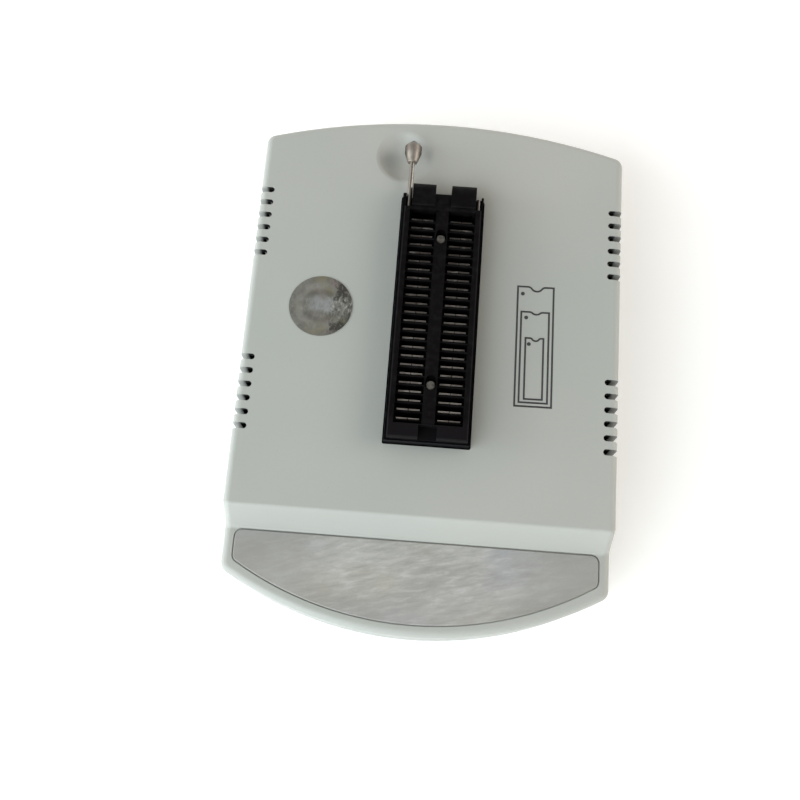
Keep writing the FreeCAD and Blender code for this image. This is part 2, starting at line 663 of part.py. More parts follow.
# ---------------------------------------------------------------- electronic components
def chip_body(x, y, z, half_x, half_y, height, lead_gap):
    """Moulded package with drafted sides and a pin 1 dimple in its top."""
    draft = 0.25
    mid = z + lead_gap + height / 2.0

    def ring(level, inset):
        return Part.makePolygon([V(x - half_x + inset, y - half_y + inset, level),
                                 V(x + half_x - inset, y - half_y + inset, level),
                                 V(x + half_x - inset, y + half_y - inset, level),
                                 V(x - half_x + inset, y + half_y - inset, level),
                                 V(x - half_x + inset, y - half_y + inset, level)])

    lower = Part.makeLoft([ring(z + lead_gap, draft), ring(mid, 0.0)], True, True)
    upper = Part.makeLoft([ring(mid, 0.0), ring(z + lead_gap + height, draft)], True, True)
    dimple_x, dimple_y = x - half_x + 1.1, y + half_y - 1.1
    top = z + lead_gap + height
    return lower.fuse(upper).removeSplitter().cut(cylinder(dimple_x, dimple_y, top - 0.12, top + 1.0, 0.35))


def gull_lead(x, y, z, angle, width, reach, rise):
    """One gull-wing lead that leaves a package at (x, y) in the direction of angle (degrees)."""
    t = 0.18
    path = [(0, rise), (reach * 0.35, rise), (reach * 0.55, t), (reach, t), (reach, 0), (reach * 0.45, 0),
            (reach * 0.28, rise - t), (0, rise - t)]
    points = [(r, -width / 2.0, h) for r, h in path]
    lead = prism(points, (0, width, 0))
    lead.rotate(V(0, 0, 0), V(0, 0, 1), angle)
    lead.translate(V(x, y, z))
    return lead


def package(place, z, sizes, flip=False):
    """A surface-mount package at a board face z: (body, leads). flip hangs it below that face."""
    x, y = place
    half_x, half_y, height, pitch, per_x_side, per_y_side = sizes
    gap, reach, width = 0.12, 1.0, pitch * 0.45
    body = chip_body(x, y, z, half_x, half_y, height, gap)
    rise = gap + height / 2.0 + 0.09
    leads = []
    for i in range(per_x_side):
        py = y + (i - (per_x_side - 1) / 2.0) * pitch
        leads.append(gull_lead(x + half_x, py, z, 0, width, reach, rise))
        leads.append(gull_lead(x - half_x, py, z, 180, width, reach, rise))
    for i in range(per_y_side):
        px = x + (i - (per_y_side - 1) / 2.0) * pitch
        leads.append(gull_lead(px, y + half_y, z, 90, width, reach, rise))
        leads.append(gull_lead(px, y - half_y, z, 270, width, reach, rise))
    if flip:
        for shape in [body] + leads:
            shape.rotate(V(x, y, z), V(0, 1, 0), 180)
    return body, leads


def capacitor_can(x, y):
    """Aluminium electrolytic capacitor: can with a crimped waist and two wires."""
    z = MAIN_TOP_Z
    can = cylinder(x, y, z + 0.3, z + CAN_TOP, CAN_R)
    can = round_edges(can, 0.5, lambda e: abs(middle(e).z - z - CAN_TOP) < 0.01)
    waist = Part.makeTorus(CAN_R + 0.35, 0.6, V(x, y, z + 2.2))
    return can.cut(waist)


def capacitor_wires(x, y):
    z = MAIN_TOP_Z
    return [cylinder(x + s * CAN_WIRE_X, y, z - BOARD_THICK - 1.0, z + 0.3, 0.25) for s in (-1, 1)]


def crystal():
    """Low oval can with two wires."""
    (half_x, half_y), x, y, z = CRYSTAL_HALF, CRYSTAL_X, CRYSTAL_Y, MAIN_TOP_Z
    can = box(x - half_x, x + half_x, y - half_y, y + half_y, z + 0.2, z + CRYSTAL_TOP)
    can = round_edges(can, half_y - 0.1, is_vertical)
    wires = [cylinder(x + s * CRYSTAL_WIRE_X, y, z - BOARD_THICK - 1.0, z + 0.2, 0.22) for s in (-1, 1)]
    return [union([can] + wires)]


def inductor_core():
    """Drum with a flange at each end."""
    z, top = MAIN_TOP_Z, MAIN_TOP_Z + COIL_TOP
    return [union([cylinder(COIL_X, COIL_Y, z, z + COIL_FLANGE, COIL_FLANGE_R),
                   cylinder(COIL_X, COIL_Y, z + 0.5, top, COIL_CORE_R),
                   cylinder(COIL_X, COIL_Y, top - COIL_FLANGE, top, COIL_FLANGE_R)])]


def inductor_winding():
    play = 0.02
    z0, z1 = MAIN_TOP_Z + COIL_FLANGE + play, MAIN_TOP_Z + COIL_TOP - COIL_FLANGE - play
    ring = cylinder(COIL_X, COIL_Y, z0, z1, COIL_WINDING_R)
    return [ring.cut(cylinder(COIL_X, COIL_Y, z0 - 1.0, z1 + 1.0, COIL_CORE_R + play))]


def chip_components(grid, height):
    """Small two-terminal parts laid out in rows."""
    x0, y0, step_x, step_y, row, count = grid
    half_x, half_y = CHIP_HALF
    places = [(x0 + step_x * (i % row), y0 + step_y * (i // row)) for i in range(count)]
    z0, z1 = MAIN_TOP_Z, MAIN_TOP_Z + height
    return [box(x - half_x, x + half_x, y - half_y, y + half_y, z0, z1) for x, y in places]


# ---------------------------------------------------------------- ZIF socket
def row_places():
    return [ZIF_Y + ((ROWS - 1) / 2.0 - i) * PITCH for i in range(ROWS)]


def tail_places():
    return [(ZIF_X + side * TAIL_X, y) for side in (-1, 1) for y in row_places()]


def contact_slots(z0, z1):
    """Cutters for the pocket behind every contact."""
    return [box(ZIF_X + side * COLUMN_X - SLOT_HALF_X, ZIF_X + side * COLUMN_X + SLOT_HALF_X,
                y - SLOT_FRONT, y + SLOT_REAR, z0, z1)
            for side in (-1, 1) for y in row_places()]


def both_sides(x_range, y0, y1, z0, z1):
    """The same box on both sides of the socket's middle; x_range is measured from that middle."""
    near, far = x_range
    return [box(ZIF_X + near, ZIF_X + far, y0, y1, z0, z1),
            box(ZIF_X - far, ZIF_X - near, y0, y1, z0, z1)]


def zif_base():
    bottom, top = SOCKET_BOARD_TOP_Z, ZIF_BASE_TOP_Z
    knee = DECK_Z + 0.2
    wide, narrow = ZIF_HALF_X, ZIF_HALF_X - ZIF_TAPER_X
    section = [(ZIF_X - wide, ZIF_FRONT_Y, bottom), (ZIF_X + wide, ZIF_FRONT_Y, bottom),
               (ZIF_X + wide, ZIF_FRONT_Y, knee), (ZIF_X + narrow, ZIF_FRONT_Y, top),
               (ZIF_X - narrow, ZIF_FRONT_Y, top), (ZIF_X - wide, ZIF_FRONT_Y, knee)]
    base = prism(section, (0, ZIF_REAR_Y - ZIF_FRONT_Y, 0))
    cutters = contact_slots(ZIF_FLOOR_Z, top + 1.0)
    # wells under the ears, open to the rear, and the side slots for the lever arm and the tail
    ear_well = (CENTRE_BEARING_X, WEB_X[0])
    cutters += both_sides(ear_well, EAR_FRONT_Y - 2.2, ZIF_REAR_Y + 1.0, EAR_BOTTOM_Z - 0.4, top + 1.0)
    for side, wall in SIDE_WALL.items():
        x0, x1 = sorted((ZIF_X + side * WEB_X[1], ZIF_X + side * (ZIF_HALF_X - ZIF_TAPER_X - wall)))
        cutters.append(box(x0, x1, PIVOT_Y - 1.2, ZIF_REAR_Y + 1.0, PIVOT_Z - 1.1, top + 1.0))
    cutters += both_sides((WEB_X[0] - 1.0, EAR_X[1][1] + 0.1), PIVOT_Y + 2.2, ZIF_REAR_Y + 1.0,
                          EAR_BOTTOM_Z - 0.4, top + 1.0)
    # open-topped journal bearing across the centre block and the webs
    journal = ROD_R + BEARING_PLAY
    cutters.append(rod_x(ZIF_X - WEB_X[1] - 0.1, ZIF_X + WEB_X[1] + 0.1, PIVOT_Y, PIVOT_Z, journal))
    cutters.append(box(ZIF_X - WEB_X[1] - 0.1, ZIF_X + WEB_X[1] + 0.1, PIVOT_Y - journal, PIVOT_Y + journal,
                       PIVOT_Z, top + 1.0))
    for y in RIVET_AT:
        cutters.append(cylinder(ZIF_X, y, bottom - 1.0, top + 1.0, RIVET_SHANK_R + 0.02))
    for x, y in tail_places():
        cutters.append(box(x - TAIL_HALF_X - 0.05, x + TAIL_HALF_X + 0.05, y - 0.23, y + 0.23,
                           bottom - 1.0, ZIF_FLOOR_Z + 1.0))
    return [base.cut(cutters)]


def zif_contacts(side):
    """One column of twin-tipped spring contacts with their tails through the socket board."""
    contacts = []
    x0 = ZIF_X + side * COLUMN_X
    tail_x = ZIF_X + side * TAIL_X
    for y in row_places():
        near, far = x0 - CONTACT_HALF_X, x0 + CONTACT_HALF_X
        bead_z = CONTACT_TOP_Z - CONTACT_BEAD_R
        half = CONTACT_THICK / 2.0
        leaf = box(near, far, y - half, y + half, ZIF_FLOOR_Z, bead_z)
        bead = rod_x(near, far, y + CONTACT_BEAD_Y, bead_z, CONTACT_BEAD_R)
        tail = box(tail_x - TAIL_HALF_X, tail_x + TAIL_HALF_X, y - half, y + half,
                   CONTACT_TAIL_Z, ZIF_FLOOR_Z + 0.5)
        split = box(x0 - CONTACT_SPLIT / 2.0, x0 + CONTACT_SPLIT / 2.0, y - 1.0, y + 1.0,
                    CONTACT_TOP_Z - 3.0, CONTACT_TOP_Z + 1.0)
        contacts.append(union([leaf, bead, tail]).cut(split))
    return contacts


def cover_rib(x0, y):
    """Rib in front of a contact: upright faces and a bevelled top."""
    rear = y - SLOT_FRONT
    front = y - PITCH + SLOT_REAR
    low, high = ZIF_BASE_TOP_Z + SLIDE_PLAY, COVER_RIB_TOP_Z
    half = TROUGH_HALF_X + 0.1
    section = [(x0 - half, front, low), (x0 - half, rear, low), (x0 - half, rear, high - 0.25),
               (x0 - half, (front + rear) / 2.0, high), (x0 - half, front, high - 0.25)]
    return prism(section, (2.0 * half, 0, 0))


def cover_ear(side):
    """Rear ear with its rounded top and the yoke slot that takes the cranked rod."""
    x0, x1 = sorted(ZIF_X + side * x for x in EAR_X[side])
    ear = box(x0, x1, EAR_FRONT_Y, EAR_REAR_Y, EAR_BOTTOM_Z, EAR_TOP_Z)

    def is_top_end(edge, y):
        m = middle(edge)
        return abs(m.y - y) < 0.01 and abs(m.z - EAR_TOP_Z) < 0.01

    ear = round_edges(ear, EAR_ROUND_R, lambda e: is_top_end(e, EAR_REAR_Y))
    ear = round_edges(ear, 0.5, lambda e: is_top_end(e, EAR_FRONT_Y))
    yoke_y = PIVOT_Y + CRANK / math.sqrt(2.0)
    half = ROD_R + YOKE_PLAY
    web0, web1 = sorted((ZIF_X + side * YOKE_OUTER_X, ZIF_X + side * (EAR_X[side][1] + 0.1)))
    low, slot_top = EAR_BOTTOM_Z - 1.0, PIVOT_Z + CRANK + ROD_R + 0.15
    cutters = [
        box(x0 - 1.0, x1 + 1.0, yoke_y - half, yoke_y + half, low, slot_top),
        box(web0, web1, EAR_FRONT_Y - 1.0, PIVOT_Y + 2.3 + COVER_TRAVEL, low, ZIF_BASE_TOP_Z + 0.2),
    ]
    return ear.cut(cutters)


def zif_cover():
    low, high = ZIF_BASE_TOP_Z + SLIDE_PLAY, COVER_TOP_Z
    left, right = ZIF_X - COVER_HALF_X, ZIF_X + COVER_HALF_X
    plate = box(left, right, COVER_FRONT_Y, COVER_REAR_Y, low, high)

    def is_upper_outer(edge):
        m = middle(edge)
        return abs(m.z - high) < 0.01

    plate = plate.makeChamfer(COVER_EDGE, [e for e in plate.Edges if is_upper_outer(e)])
    rows = row_places()
    trough_rear, trough_front = rows[0] + TROUGH_REAR, rows[-1] - TROUGH_FRONT
    trough_x = (COLUMN_X - TROUGH_HALF_X, COLUMN_X + TROUGH_HALF_X)
    cutters = both_sides(trough_x, trough_front, trough_rear, low - 1.0, high + 1.0)
    # the spine between the columns lies a little lower than the front and rear blocks
    cutters.append(box(ZIF_X - trough_x[0], ZIF_X + trough_x[0], trough_front, trough_rear,
                       COVER_SPINE_Z, high + 1.0))
    # notch in the front edge
    cutters.append(box(ZIF_X - COVER_NOTCH_HALF_X, ZIF_X + COVER_NOTCH_HALF_X, COVER_FRONT_Y - 1.0,
                       COVER_FRONT_Y + COVER_NOTCH_DEPTH, low + 0.6, high + 1.0))
    # rivet slots: wide above the heads, narrow round the shanks, with free room to the rear
    for y in RIVET_AT:
        wide, narrow = RIVET_HEAD_R + 0.15, RIVET_SHANK_R + 0.1
        for r, z in ((wide, RIVET_HEAD_Z[0] - 0.05), (narrow, low - 1.0)):
            cutters.append(cylinder(ZIF_X, y, z, high + 1.0, r))
            cutters.append(cylinder(ZIF_X, y + COVER_TRAVEL, z, high + 1.0, r))
            cutters.append(box(ZIF_X - r, ZIF_X + r, y, y + COVER_TRAVEL, z, high + 1.0))
    # room for the cranked lengths of the rod under the rear block
    sweep = CRANK + ROD_R + 0.15
    cutters += both_sides((CENTRE_BEARING_X, WEB_X[0] + 0.15), PIVOT_Y - sweep - 0.1, COVER_REAR_Y + 1.0,
                          low - 1.0, PIVOT_Z + sweep)
    # side slots over the lever arm and the tail
    for side in (-1, 1):
        x0, x1 = sorted((ZIF_X + side * EAR_X[side][1], ZIF_X + side * (COVER_HALF_X + 1.0)))
        cutters.append(box(x0, x1, PIVOT_Y - ROD_R - ARM_PLAY, COVER_REAR_Y + 1.0, low - 1.0, high + 1.0))
    cover = plate.cut(cutters)
    ribs = [cover_rib(ZIF_X + side * COLUMN_X, y) for side in (-1, 1) for y in rows]
    ears = [cover_ear(side) for side in (-1, 1)]
    return [cover.fuse(ribs + ears).removeSplitter()]


def zif_rivets():
    rivets = []
    low, high = RIVET_HEAD_Z
    foot_top = SOCKET_BOARD_TOP_Z - BOARD_THICK
    foot_bottom = foot_top - 0.6
    for y in RIVET_AT:
        head = cylinder(ZIF_X, y, low, high, RIVET_HEAD_R)
        head = round_edges(head, 0.35, lambda e: abs(middle(e).z - high) < 0.01)
        shank = cylinder(ZIF_X, y, foot_bottom, low + 0.3, RIVET_SHANK_R)
        foot = cylinder(ZIF_X, y, foot_bottom, foot_top, 1.3)
        rivets.append(union([head, shank, foot]))
    return rivets


def bent_rod(points):
    """Round rod along straight runs in one plane, joined by bends of radius BEND_R."""
    edges = []
    start = V(*points[0])
    for i in range(1, len(points) - 1):
        corner = V(*points[i])
        back = (start - corner).normalize()
        ahead = (V(*points[i + 1]) - corner).normalize()
        a, b = corner + back * BEND_R, corner + ahead * BEND_R
        centre = corner + (back + ahead) * BEND_R
        mid = centre + (corner - centre).normalize() * BEND_R
        edges.append(Part.LineSegment(start, a).toShape())
        edges.append(Part.Arc(a, mid, b).toShape())
        start = b
    edges.append(Part.LineSegment(start, V(*points[-1])).toShape())
    path = Part.Wire(edges)
    direction = (V(*points[1]) - V(*points[0])).normalize()
    ring = Part.Wire([Part.makeCircle(ROD_R, V(*points[0]), direction)])
    return path.makePipeShell([ring], True, False)


def cam_rod():
    """Lever arm, journals, two cranked lengths and the short tail, all one bent rod."""
    arm, tail = ZIF_X + ARM_X, ZIF_X + TAIL_ARM_X
    left = bent_rod([(arm, KNOB_START_Y + 4.0, PIVOT_Z), (arm, PIVOT_Y, PIVOT_Z),
                     (ZIF_X - CRANK_X[1], PIVOT_Y, PIVOT_Z)])
    right = bent_rod([(tail, PIVOT_Y + TAIL_ARM_LENGTH, PIVOT_Z), (tail, PIVOT_Y, PIVOT_Z),
                      (ZIF_X + CRANK_X[1], PIVOT_Y, PIVOT_Z)])
    centre = rod_x(ZIF_X - CRANK_X[0], ZIF_X + CRANK_X[0], PIVOT_Y, PIVOT_Z, ROD_R)
    shift = CRANK / math.sqrt(2.0)
    cranks = []
    for side in (-1, 1):
        x0, x1 = sorted((ZIF_X + side * (CRANK_X[0] - CRANK_LAP), ZIF_X + side * (CRANK_X[1] + CRANK_LAP)))
        cranks.append(rod_x(x0, x1, PIVOT_Y + shift, PIVOT_Z + shift, ROD_R))
    return [union([left, right, centre] + cranks)]


def lever_knob():
    """Turned metal knob pressed on the end of the lever arm, widest towards its far end."""
    x, y, z = ZIF_X + ARM_X, KNOB_START_Y, PIVOT_Z
    half_section = [(0, 0), (0, KNOB_BASE_R), (KNOB_FLARE, KNOB_R), (KNOB_SHOULDER, KNOB_R),
                    (KNOB_LENGTH, KNOB_TIP_R), (KNOB_LENGTH, 0)]
    wire = Part.makePolygon([V(x, y + along, z + out) for along, out in half_section + half_section[:1]])
    knob = Part.Face(wire).revolve(V(x, y, z), V(0, 1, 0), 360)

    def is_ring(edge):
        m = middle(edge)
        return not edge.Degenerated and math.hypot(m.x - x, m.z - z) > KNOB_TIP_R - 0.01 and edge.Closed

    knob = round_edges(knob, KNOB_EDGE, is_ring)
    bore = Part.makeCylinder(ROD_R + 0.01, 4.05, V(x, y - 0.01, z), V(0, 1, 0))
    return [knob.cut(bore)]


# ---------------------------------------------------------------- build
os.makedirs("parts", exist_ok=True)

save("top_shell", [top_shell()])
save("bottom_shell", [bottom_shell()])
save("rubber_feet", rubber_feet())
save("case_screws", case_screws())
save("name_plate", name_plate())
save("round_sticker", round_sticker())
save("orientation_print", orientation_print())

save("main_board", main_board())
save("socket_board", socket_board())
save("board_standoffs", board_standoffs())
save("board_screws", board_screws())
save("header_sockets", header_sockets())
save("header_strips", header_strips())
save("header_pins", header_pins())

save("usb_shell", usb_shell())
save("usb_insulator", usb_insulator())
save("usb_contacts", usb_blades(0.0))

controller = package(CONTROLLER_AT, MAIN_TOP_Z, CONTROLLER)
save("microcontroller", [controller[0]])
save("microcontroller_leads", controller[1])
logic = package(LOGIC_AT, MAIN_TOP_Z, LOGIC)
save("logic_array", [logic[0]])
save("logic_array_leads", logic[1])
driver_places = [(side * DRIVER_X, y) for side in (-1, 1) for y in DRIVER_Y]
drivers = [package(place, SOCKET_BOARD_TOP_Z - BOARD_THICK, DRIVER, flip=True) for place in driver_places]
save("pin_drivers", [body for body, leads in drivers])
save("pin_driver_leads", [lead for body, leads in drivers for lead in leads])
regulator = package(REGULATOR_AT, MAIN_TOP_Z, REGULATOR)
save("voltage_regulator", [regulator[0]])
save("voltage_regulator_leads", regulator[1])

save("capacitor_cans", [capacitor_can(x, y) for x, y in CAN_PLACES])
save("capacitor_wires", [wire for x, y in CAN_PLACES for wire in capacitor_wires(x, y)])
save("crystal", crystal())
save("inductor_core", inductor_core())
save("inductor_winding", inductor_winding())
save("chip_resistors", chip_components(RESISTOR_GRID, RESISTOR_HEIGHT))
save("chip_capacitors", chip_components(CERAMIC_GRID, CERAMIC_HEIGHT))

save("zif_base", zif_base())
save("zif_contacts_left", zif_contacts(-1))
save("zif_contacts_right", zif_contacts(1))
save("zif_cover", zif_cover())
save("zif_rivets", zif_rivets())
save("cam_rod", cam_rod())
save("lever_knob", lever_knob())
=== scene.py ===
import math

import bpy
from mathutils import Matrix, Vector


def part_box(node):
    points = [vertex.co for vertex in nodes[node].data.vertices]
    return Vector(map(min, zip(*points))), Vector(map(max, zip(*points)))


# The looks of a USB chip programmer: pale moulded case, black ZIF socket with its cam lever.
# Metres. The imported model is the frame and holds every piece; each of its nodes gets a material here.

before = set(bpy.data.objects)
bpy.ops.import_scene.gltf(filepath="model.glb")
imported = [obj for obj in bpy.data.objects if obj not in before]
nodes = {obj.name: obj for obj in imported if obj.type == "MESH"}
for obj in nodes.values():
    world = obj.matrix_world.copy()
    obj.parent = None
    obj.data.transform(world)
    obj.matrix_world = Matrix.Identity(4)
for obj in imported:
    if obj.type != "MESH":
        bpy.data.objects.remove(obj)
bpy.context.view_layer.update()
scene = bpy.context.scene

MM = 0.001

# painted shade darkens the shells' inner faces between these heights and depths
SHELL_WALL = 2.2 * MM
SHADE_LOW_Z = 3.0 * MM
SHADE_Y = (-41.0 * MM, 53.0 * MM)
SHADE_MARGIN = 0.05 * MM
# and the painted shade thins out towards the mouths of the side vents; these are depths from the side or the
# top
VENT_Y = (-24.0 * MM, 50.5 * MM)
VENT_END = 4.3 * MM
VENT_LIP = 0.15 * MM
VENT_TOP = 0.35 * MM
VENT_SHADE_FULL = 2.5 * MM
VENT_SHADE_GONE = 1.2 * MM
RIGHT_VENT_SHADE = 0.45    # painted shade left at the mouths of the right-hand vents, which lie in shadow
# near black, for the painted shade
PAINTED_SHADE_COLOR = (0.004, 0.004, 0.004)

# tone, painted shade and dark reflections, dust and grain on the socket, its knob and the name plate
COVER_PALE_STRIP = 5.0 * MM                 # the paler strip behind the cover's front edge
PALE_STRIP_FADE = 0.5 * MM
PALE_STRIP_COLOR = (0.0075, 0.0065, 0.0075)
DARKEST_REAR_ROWS = 12.0 * MM              # the rearmost stretch, where the contacts are darkest
RIVET_SHADE_RIM = (0.22 * MM, 0.04 * MM)      # painted shade round the heads' lower edges, in depths below the heads' tops
KNOB_TIP_REFLECTION = (2.0 * MM, 1.2 * MM)         # the painted dark reflection on the tip, in distances from the knob's end
PLATE_SLANT = 13.0                      # degrees, of the name plate's streaks
DUST_LIFT = 0.006                       # what dust adds to a black plastic's colour

# ---------------------------------------------------------------- camera, light and floor
CAMERA_AT = Vector((-2.96, -84.98, 294.06)) * MM
CAMERA_TURN = (15.491, 0.926, 4.234)    # degrees about X, Y and Z, applied Z first
CAMERA_LENS = 45.0
CAMERA_SENSOR = 36.0

FLOOR_SIZE = 3.0
FLOOR_COLOR = (0.97, 0.97, 0.97)
FLOOR_GLOW = 0.14
# brightness of the room by height: (sine of the elevation, brightness)
SKY = ((0.0, 1.00), (0.42, 0.90), (0.68, 0.42), (0.88, 0.12), (1.0, 0.06))
SKY_COLOR = (1.0, 0.975, 0.925)
SKY_STRENGTH = 1.26

# name: (place, target, size, colour, power in watts)
LIGHTS = {
    "key_window": ((-0.86, -0.84, 0.56), (0.0, 0.0, 0.02), 1.80, (0.85, 0.95, 1.0), 26.0),
    "low_left": ((-1.10, 0.02, 0.24), (0.0, 0.0, 0.03), 0.50, (0.95, 0.97, 1.0), 6.5),
    "warm_fill": ((0.95, 0.20, 0.60), (0.0, 0.0, 0.02), 0.60, (1.0, 0.93, 0.84), 4.2),
}
WITHOUT_GLINT = ("low_left",)    # lights that make no reflections


def make_camera():
    """The photo's viewpoint: nearly overhead, a little in front of the device."""
    data = bpy.data.cameras.new("camera")
    data.lens = CAMERA_LENS
    data.sensor_width = CAMERA_SENSOR
    data.clip_start = 0.01
    camera = bpy.data.objects.new("camera", data)
    scene.collection.objects.link(camera)
    camera.rotation_mode = "ZYX"
    camera.rotation_euler = [math.radians(a) for a in CAMERA_TURN]
    camera.location = CAMERA_AT
    scene.camera = camera


def make_lights():
    """Soft discs that face their targets."""
    for name, (place, target, size, color, power) in LIGHTS.items():
        data = bpy.data.lights.new(name, "AREA")
        data.shape = "DISK"
        data.size = size
        data.color = color
        data.energy = power
        light = bpy.data.objects.new(name, data)
        scene.collection.objects.link(light)
        light.location = place
        aim = Vector(target) - Vector(place)
        light.rotation_euler = aim.to_track_quat("-Z", "Y").to_euler()
        light.visible_glossy = name not in WITHOUT_GLINT


def make_world():
    """A pale room, bright round the horizon and dim overhead."""
    world = bpy.data.worlds.new("soft_studio")
    scene.world = world
    world.use_nodes = True
    tree = world.node_tree
    direction = tree.nodes.new("ShaderNodeTexCoord").outputs["Generated"]
    split = tree.nodes.new("ShaderNodeSeparateXYZ")
    ramp = tree.nodes.new("ShaderNodeValToRGB")
    tree.links.new(direction, split.inputs[0])
    tree.links.new(split.outputs["Z"], ramp.inputs["Fac"])
    stops = ramp.color_ramp.elements
    while len(stops) < len(SKY):
        stops.new(0.5)
    for stop, (height, bright) in zip(stops, SKY):
        stop.position = height
        stop.color = (*(c * bright for c in SKY_COLOR), 1.0)
    background = tree.nodes["Background"]
    tree.links.new(ramp.outputs["Color"], background.inputs["Color"])
    background.inputs["Strength"].default_value = SKY_STRENGTH


def make_floor():
    """A plain pale floor with a little glow, so that it stays near white."""
    half = FLOOR_SIZE / 2.0
    mesh = bpy.data.meshes.new("floor")
    corners = [(-half, -half, 0), (half, -half, 0), (half, half, 0), (-half, half, 0)]
    mesh.from_pydata(corners, [], [(0, 1, 2, 3)])
    floor = bpy.data.objects.new("floor", mesh)
    scene.collection.objects.link(floor)
    paint = Paint("floor_paint", FLOOR_COLOR, 0.9)
    paint.shader.inputs["Emission Color"].default_value = (1.0, 1.0, 1.0, 1.0)
    paint.shader.inputs["Emission Strength"].default_value = FLOOR_GLOW
    floor.data.materials.append(paint.material)


# ---------------------------------------------------------------- procedural paint
class Paint:
    """A principled material with helpers that add texture nodes in object space (metres)."""

    def __init__(self, name, color, roughness, metallic=0.0, specular=0.5):
        self.material = bpy.data.materials.new(name)
        self.material.use_nodes = True
        self.tree = self.material.node_tree
        self.shader = self.tree.nodes["Principled BSDF"]
        self.shader.inputs["Base Color"].default_value = (*color, 1.0)
        self.shader.inputs["Roughness"].default_value = roughness
        self.shader.inputs["Metallic"].default_value = metallic
        self.shader.inputs["Specular IOR Level"].default_value = specular
        self.place = self.add("ShaderNodeTexCoord").outputs["Object"]

    def add(self, kind, **settings):
        """A new node in this material, with its settings."""
        node = self.tree.nodes.new(kind)
        for key, value in settings.items():
            setattr(node, key, value)
        return node

    def feed(self, socket, value):
        """Link a socket's value when it is an output, or set it when it is a number or colour."""
        if isinstance(value, bpy.types.NodeSocket):
            self.tree.links.new(value, socket)
        elif isinstance(value, tuple) and len(value) == 3 and socket.type == "RGBA":
            socket.default_value = (*value, 1.0)
        else:
            socket.default_value = value

    def stretched(self, lengths, turn=0.0):
        """Coordinates in which a pattern is drawn out by these lengths, then turned about Z (degrees)."""
        mapping = self.add("ShaderNodeMapping", vector_type="TEXTURE")
        self.feed(mapping.inputs["Vector"], self.place)
        mapping.inputs["Scale"].default_value = lengths
        mapping.inputs["Rotation"].default_value = (0.0, 0.0, math.radians(turn))
        return mapping.outputs["Vector"]

    def noise(self, per_metre, detail=3.0, rough=0.5, warp=0.0, place=None):
        """Fractal noise between 0 and 1, with this many features to a metre."""
        node = self.add("ShaderNodeTexNoise")
        self.feed(node.inputs["Vector"], place or self.place)
        node.inputs["Scale"].default_value = per_metre
        node.inputs["Detail"].default_value = detail
        node.inputs["Roughness"].default_value = rough
        node.inputs["Distortion"].default_value = warp
        return node.outputs["Fac"]

    def cells(self, per_metre, feature="F1"):
        """Distances in a pattern of random cells, this many to a metre."""
        node = self.add("ShaderNodeTexVoronoi", feature=feature)
        self.feed(node.inputs["Vector"], self.place)
        node.inputs["Scale"].default_value = per_metre
        return node.outputs["Distance"]

    def spread(self, value, low, high, to_low=0.0, to_high=1.0, smooth=False):
        """Map a value from one range to another, clamped."""
        node = self.add("ShaderNodeMapRange", clamp=True)
        node.interpolation_type = "SMOOTHSTEP" if smooth else "LINEAR"
        self.feed(node.inputs["Value"], value)
        for key, number in (("From Min", low), ("From Max", high), ("To Min", to_low), ("To Max", to_high)):
            node.inputs[key].default_value = number
        return node.outputs["Result"]

    def math(self, operation, a, b=0.0):
        """One math node over two values."""
        node = self.add("ShaderNodeMath", operation=operation)
        self.feed(node.inputs[0], a)
        self.feed(node.inputs[1], b)
        return node.outputs[0]

    def mix(self, factor, a, b):
        """Blend from colour a to colour b by a factor."""
        node = self.add("ShaderNodeMix", data_type="RGBA", blend_type="MIX")
        self.feed(node.inputs["Factor"], factor)
        self.feed(node.inputs["A"], a)
        self.feed(node.inputs["B"], b)
        return node.outputs["Result"]

    def axis(self, name):
        """One object coordinate, in metres."""
        node = self.add("ShaderNodeSeparateXYZ")
        self.feed(node.inputs[0], self.place)
        return node.outputs[name]

    def color(self, value):
        self.feed(self.shader.inputs["Base Color"], value)

    def roughness(self, value):
        self.feed(self.shader.inputs["Roughness"], value)

    def bump(self, height, depth, strength=1.0):
        """Add a height pattern on top of any earlier one; depth in metres."""
        node = self.add("ShaderNodeBump")
        node.inputs["Strength"].default_value = strength
        node.inputs["Distance"].default_value = depth
        self.feed(node.inputs["Height"], height)
        normal = self.shader.inputs["Normal"]
        if normal.is_linked:
            self.feed(node.inputs["Normal"], normal.links[0].from_socket)
        self.feed(normal, node.outputs["Normal"])


def dress(node_name, paint):
    """Give a CAD node's object one material."""
    slots = nodes[node_name].data.materials
    slots.clear()
    slots.append(paint.material)


# ---------------------------------------------------------------- materials
def all_of(paint, parts):
    """1 where every one of the masks is 1."""
    mask = parts[0]
    for part in parts[1:]:
        mask = paint.math("MULTIPLY", mask, part)
    return mask


def between(paint, value, low, high):
    """1 where a value is between two limits."""
    above = paint.math("GREATER_THAN", value, low)
    return paint.math("MULTIPLY", above, paint.math("LESS_THAN", value, high))


def distance(paint, a, b):
    """Length of the hypotenuse over two sides."""
    return paint.math("SQRT", paint.math("ADD", paint.math("MULTIPLY", a, a), paint.math("MULTIPLY", b, b)))


def band(paint, value, middle, core, fade, strength):
    """A soft band about one value: full over its core, gone at its fade."""
    away = paint.math("ABSOLUTE", paint.math("SUBTRACT", value, middle))
    return paint.spread(away, core, fade, strength, 0.0, True)


